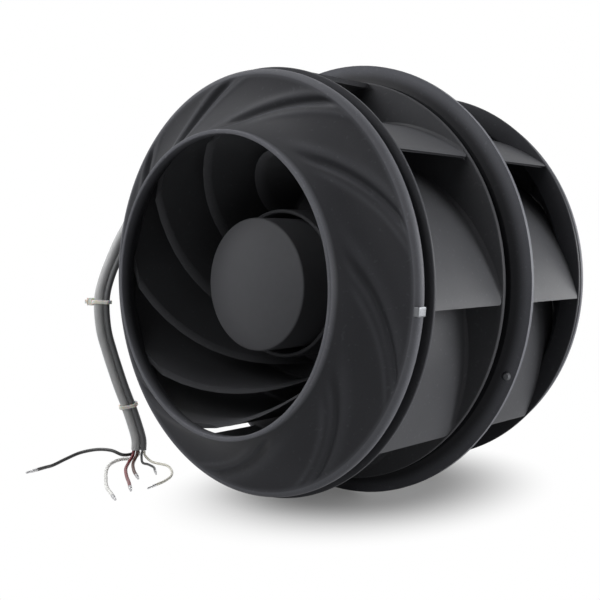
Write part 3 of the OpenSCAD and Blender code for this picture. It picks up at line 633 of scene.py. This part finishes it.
# %% Routes of cables and leads
ROUTES = {
    "power_cable": [
        (-20, 24, 7), (-20, 31, 7), (-23, 42, 8), (-33, 53, 11), (-50, 59, 16), (-72, 60, 22), (-94, 55, 28),
        (-114, 44, 34), (-128, 26, 39), (-135, 4, 43), (-137, -22, 46), (-135, -52, 48), (-134, -84, 50),
        (-139, -111, 50), (-150, -133, 46), (-155, -142, 33), (-158, -150, 16), (-160, -157, -2), (-161, -160, -17),
        (-162, -158, -36), (-163, -153, -51), (-164, -147, -66), (-165, -141, -80), (-165, -135, -94),
        (-163, -131, -108), (-161, -129, -119), (-161, -129, -127)],
    "signal_cable": [
        (-20, 24, -7), (-20, 31, -7), (-23, 41, -6), (-33, 51, -1), (-50, 57, 6), (-72, 58, 14), (-94, 53, 21),
        (-114, 42, 27), (-128, 24, 32), (-135, 3, 36), (-137, -22, 39), (-136, -52, 41), (-136, -84, 43),
        (-139, -110, 43), (-146, -130, 41), (-150, -139, 30), (-153, -147, 15), (-155, -154, -2), (-156, -157, -17),
        (-157, -155, -36), (-158, -150, -51), (-159, -144, -66), (-160, -138, -80), (-160, -132, -94),
        (-158, -128, -108), (-156, -126, -119), (-156, -126, -127)],
    "black_lead": [
        (-163, -129, -127.5), (-163, -131, -130), (-165, -138, -130), (-172, -143, -127), (-182, -148, -127),
        (-190, -157, -129), (-192, -168, -132), (-192, -179, -134.8), (-190, -187, -134.8), (-188, -195, -134.8)],
    "red_lead": [
        (-161, -131, -127.5), (-161, -132, -131), (-158, -138, -134.8), (-144, -151, -134.8), (-127, -163, -134.8),
        (-111, -173, -134.8), (-102, -179, -134.8)],
    "brown_lead": [
        (-159, -129, -127.5), (-159, -130, -131), (-154, -137, -134.8), (-136, -150, -134.8), (-124, -157, -134.8)],
    "white_lead": [
        (-161, -127, -127.5), (-162, -126, -131), (-168, -127, -134.8), (-171, -136, -134.8), (-164, -150, -134.8),
        (-149, -164, -134.8), (-130, -178, -134.8), (-112, -190, -134.8), (-92, -200, -134.8)],
    "ivory_lead": [
        (-155, -126, -127.5), (-154, -126, -131), (-148, -124, -135), (-132, -124, -135), (-118, -131, -135),
        (-106, -141, -135), (-98, -153, -135), (-94, -164, -135)],
    "grey_lead": [
        (-157, -126, -127.5), (-157, -127, -131), (-152, -130, -135), (-144, -131, -135), (-134, -134, -135),
        (-125, -140, -135)],
}
DIAMETERS = {"power_cable": 6.8, "signal_cable": 4.4, "black_lead": 2.4, "red_lead": 2.4, "brown_lead": 2.4,
             "white_lead": 2.4, "ivory_lead": 1.8, "grey_lead": 1.8}
print("routes:", {name: len(route) for name, route in ROUTES.items()})

# %% [markdown]
# ## Cords
# A cord is one open curve with a round bevel, because a curve keeps its thickness in every bend. A spline through the
# points of the route, cut into short straight runs, takes out the corners. The cord's length is measured on those runs.


# %% Cords
def smooth(route, cuts=8):
    """Points on a spline that passes through every point of a route, in metres."""
    p = [Vector(v) * MM for v in route]
    p = [2 * p[0] - p[1]] + p + [2 * p[-1] - p[-2]]
    line = []
    for a, b, c, d in zip(p, p[1:], p[2:], p[3:]):
        for k in range(cuts):
            t = k / cuts
            line.append((2 * b + (c - a) * t + (2 * a - 5 * b + 4 * c - d) * t * t
                         + (3 * b - a - 3 * c + d) * t ** 3) / 2)
    return line + [p[-2]]


def length(line):
    return sum((b - a).length for a, b in zip(line, line[1:]))


def cord(node, slot):
    """A cord along a node's route, riding on the stator."""
    line = smooth(ROUTES[node])
    diameter = DIAMETERS[node] * MM
    curve = bpy.data.curves.new(node + "_curve", "CURVE")
    curve.dimensions = "3D"
    spline = curve.splines.new("POLY")
    spline.points.add(len(line) - 1)
    for point, place in zip(spline.points, line):
        point.co = (*place, 1)
    curve.bevel_depth = diameter / 2
    curve.bevel_resolution = 6
    curve.use_fill_caps = True
    curve.materials.append(JACKETS[slot])
    made = bpy.data.objects.new(node + "_cord", curve)
    scene.collection.objects.link(made)
    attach(made, "stator")
    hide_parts(node)
    length(line)
    print(node, round(length(line), 3), "m long")


print("the power cable's route measures", round(length(smooth(ROUTES["power_cable"])), 3), "m")

# %% [markdown]
# ## Leads and ferrules
# Each lead ends in a crimped ferrule, a tin sleeve with two pressed rings and a pin. It is turned about the lead's last
# direction, in shares of the lead's own radius, and goes wherever the lead goes.

# %% Leads and ferrules
FERRULE = [(0, 0), (1, 0), (1, 1.0), (0.86, 1.3), (0.86, 2.2), (0.98, 2.5), (0.98, 3.4), (0.86, 3.7), (0.86, 4.5),
           (0.94, 4.8), (0.67, 5.0), (0.67, 9.6), (0.5, 10), (0, 10)]


def ferrule(name, lead_name):
    """A crimped sleeve and pin on the end of a lead."""
    before, end = [Vector(p) for p in ROUTES[lead_name][-2:]]
    along = (end - before).normalized()
    r = DIAMETERS[lead_name] / 2
    bm = bmesh.new()
    section = [(share * r, z) for share, z in FERRULE]
    spun(bm, section, 24, end * MM, along, along.orthogonal().normalized(), closed=False)
    return piece(bm, name, "stator", TIN, ["wire_ferrules"], sharp=30)


for colour in ("black", "red", "brown", "white", "ivory", "grey"):
    crimp = ferrule(colour + "_ferrule", colour + "_lead")
    cord(colour + "_lead", "lead_" + colour)

# %% [markdown]
# ## Cable ties
# A tie is a flat band round both cables, with a square head and a cut tail. The band follows the outermost of two
# circles in every direction, which is how a stretched loop lies, and four such loops are bridged into a ring. Head and
# tail are boxes. All edges are bevelled, and the ties travel with the power cable.

# %% Cable ties
BAND_IN, BAND_OUT, BAND_HALF, BAND_STEPS = 0.3, 1.5, 1.3, 96
HEAD, TAIL = (4.8, 8.1, -1.8, 1.8, 2.1, 0.5), (7.6, 10.6, 0.2, 1.2, 1.2, 0.2)  # x, x, y, y, half depth, edge


def outline(across, out):
    """The loop round both cables at a distance from them, in the plane of the tie."""
    ring = []
    for k in range(BAND_STEPS):
        turn = 2 * math.pi * k / BAND_STEPS
        d = Vector((math.cos(turn), math.sin(turn)))
        circles = ((Vector((0, 0)), DIAMETERS["power_cable"] / 2 + out), (across, DIAMETERS["signal_cable"] / 2 + out))
        middle, r = max(circles, key=lambda c: c[0].dot(d) + c[1])
        ring.append(middle + d * r)
    return ring


def bevelled(bm, edges, width, segments):
    bmesh.ops.bevel(bm, geom=edges, offset=width * MM, segments=segments, profile=0.5, affect="EDGES", material=-1)


def tie(name, index, head_turn):
    """A tie at one point of the cables, with its head turned to one side, in degrees."""
    before, here, after = [Vector(p) for p in ROUTES["power_cable"][index - 1:index + 2]]
    across = (Vector(ROUTES["signal_cable"][index]) - here).to_2d()
    lean = math.atan2((after - before).y, -(after - before).z)
    right, up = Vector((1, 0, 0)), Vector((0, math.cos(lean), math.sin(lean)))
    through, a = right.cross(up), math.radians(head_turn)

    def place(x, y, z):
        return (here + right * x + up * y + through * z) * MM

    bm = bmesh.new()
    corners = [(BAND_IN, -BAND_HALF), (BAND_OUT, -BAND_HALF), (BAND_OUT, BAND_HALF), (BAND_IN, BAND_HALF)]
    loops = loft(bm, [[place(*p, z) for p in outline(across, out)] for out, z in corners], closed=True)
    bevelled(bm, [e for loop in loops for e in loop], 0.25, 2)
    for x0, x1, y0, y1, deep, edge in (HEAD, TAIL):
        verts = bmesh.ops.create_cube(bm, size=1)["verts"]
        for v in verts:
            x, y = (x0 if v.co.x < 0 else x1), (y0 if v.co.y < 0 else y1)
            v.co = place(x * math.cos(a) - y * math.sin(a), x * math.sin(a) + y * math.cos(a), deep * 2 * v.co.z)
        bevelled(bm, list({e for v in verts for e in v.link_edges}), edge, 3)
    return piece(bm, name, "stator", NYLON, ["cable_ties"])


ties = [tie("upper_tie", 18, 200), tie("lower_tie", 23, 110)]
cord("power_cable", "power_jacket")
cord("signal_cable", "signal_jacket")

# %% [markdown]
# ## Finishes for the pieces that stay as they are
# Magnets, stack, coils, bearings and board sit inside the motor. The disc, the lid, the housing and the screws have
# their final shape in the frame already. Each of them could be modelled again, but a material is enough.

# %% Finishes for the pieces that stay as they are
FINISH = {
    DISC: ["centre_disc"], FERRITE: ["rotor_magnets"], SHEET: ["stator_stack"],
    STEEL: ["disc_screws", "balance_rivet", "motor_shaft", "circlip", "preload_spring", "board_screws", "cover_screws"],
    RACE: ["bearing_inner_rings", "bearing_outer_rings", "bearing_balls"], COPPER: ["stator_coils"],
    CAST: ["motor_housing"], BOARD: ["circuit_board"], SLEEVE: ["board_capacitors"], COVER: ["rear_cover"],
    RUBBER: ["cable_glands"],
}
for paint, names in FINISH.items():
    for name in names:
        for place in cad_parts[name].material_slots:
            place.material = paint
print("painted nodes:", sum(len(names) for names in FINISH.values()))

# %% [markdown]
# ## Floor
# The floor is a plain pale plane that turns white away from the wheel, so that the shadow stays and the horizon goes.
# What the camera and mirrors see of it has a strength of one, which is white, and no lamp is raised for it.

# %% Floor
FLOOR_Z = -0.1363
SHADOW_X, SHADOW_Y, SHADOW_WIDE, SHADOW_DEEP = 0.0, -0.065, 0.1, 0.13  # oval under the wheel that keeps its shadow
SHADOW_VEIL = 0.12  # share of white that lies over the shadow


def seen(tree):
    """1 for what the camera sees, directly or in a mirror or a glass."""
    kinds = ("Camera", "Glossy", "Transmission")
    camera_ray, glossy, through = [Wire.add(tree, "ShaderNodeLightPath", out=f"Is {kind} Ray") for kind in kinds]
    return camera_ray.math("MINIMUM", camera_ray + glossy + through, 1.0)


bm = bmesh.new()
bmesh.ops.create_grid(bm, x_segments=1, y_segments=1, size=6)
floor_mesh = bpy.data.meshes.new("floor")
bm.to_mesh(floor_mesh)
bm.free()
floor = bpy.data.objects.new("floor", floor_mesh)
floor.location = (0, 0, FLOOR_Z)
scene.collection.objects.link(floor)
floor_paint, floor_shader, floor_at = material("floor_paint", Roughness=0.9, Specular_IOR_Level=0.0)
floor_mesh.materials.append(floor_paint)
feed(floor_shader, Base_Color=floor_at.noise(3).blend((0.49, 0.49, 0.49), (0.51, 0.51, 0.51)))
oval = floor_at.mapped(Location=(-SHADOW_X / SHADOW_WIDE, -SHADOW_Y / SHADOW_DEEP, 0),
                       Scale=(1 / SHADOW_WIDE, 1 / SHADOW_DEEP, 0))
away = oval.length().step(0.4, 1.2)
tree = floor_paint.node_tree
white = Wire.add(tree, "ShaderNodeEmission", None, {"Strength": 1.0})
share = seen(tree) * (SHADOW_VEIL + (1 - SHADOW_VEIL) * away)
mixed = Wire.add(tree, "ShaderNodeMixShader", None, {0: share, 1: Wire(tree, floor_shader.outputs[0]), 2: white})
tree.links.new(mixed.socket, tree.nodes["Material Output"].inputs["Surface"])
print("floor at", FLOOR_Z, "m")

# %% [markdown]
# ## Lamps and sky
# Large soft lamps stand round the wheel, the strongest behind it on the right, where it grazes the blades. A lamp is
# placed by its azimuth and height, as a photographer would say it. The sky gives a little light all round, and is white
# where it is seen.

# %% Lamps and sky
HEART, LAMP_FAR, LAMP_SIZE = Vector((0, -0.08, 0)), 1.3, 0.8
AMBIENT = 0.02
LAMPS = {  # azimuth from +X and height in degrees, and watts
    "rear_right": (30, 2, 18.0), "rear": (60, 2, 10.5), "front": (-90, 25, 4.4), "right": (10, 2, 3.8),
    "left_high": (-140, 55, 8.5), "left": (-140, 25, 3.0), "top": (0, 85, 3.0)}
for name, (azimuth, height, watts) in LAMPS.items():
    a, h = math.radians(azimuth), math.radians(height)
    data = bpy.data.lights.new(name, "AREA")
    data.shape, data.size, data.energy = "DISK", LAMP_SIZE, watts
    lamp = bpy.data.objects.new(name, data)
    lamp.location = HEART + LAMP_FAR * Vector((math.cos(a) * math.cos(h), math.sin(a) * math.cos(h), math.sin(h)))
    lamp.rotation_euler = (HEART - lamp.location).to_track_quat("-Z", "Y").to_euler()
    scene.collection.objects.link(lamp)
scene.world = bpy.data.worlds.new("world")
scene.world.use_nodes = True
sky = scene.world.node_tree
sky.links.new((AMBIENT + seen(sky) * (1 - AMBIENT)).socket, sky.nodes["Background"].inputs["Strength"])
sky.nodes["Background"].inputs["Color"].default_value = (1, 1, 1, 1)
scene.view_settings.view_transform = "Standard"
print("lamps:", len(LAMPS))

# %% [markdown]
# ## Update the scene
# The view layer is brought up to date once every piece is in place.

# %% Update the scene
bpy.context.view_layer.update()
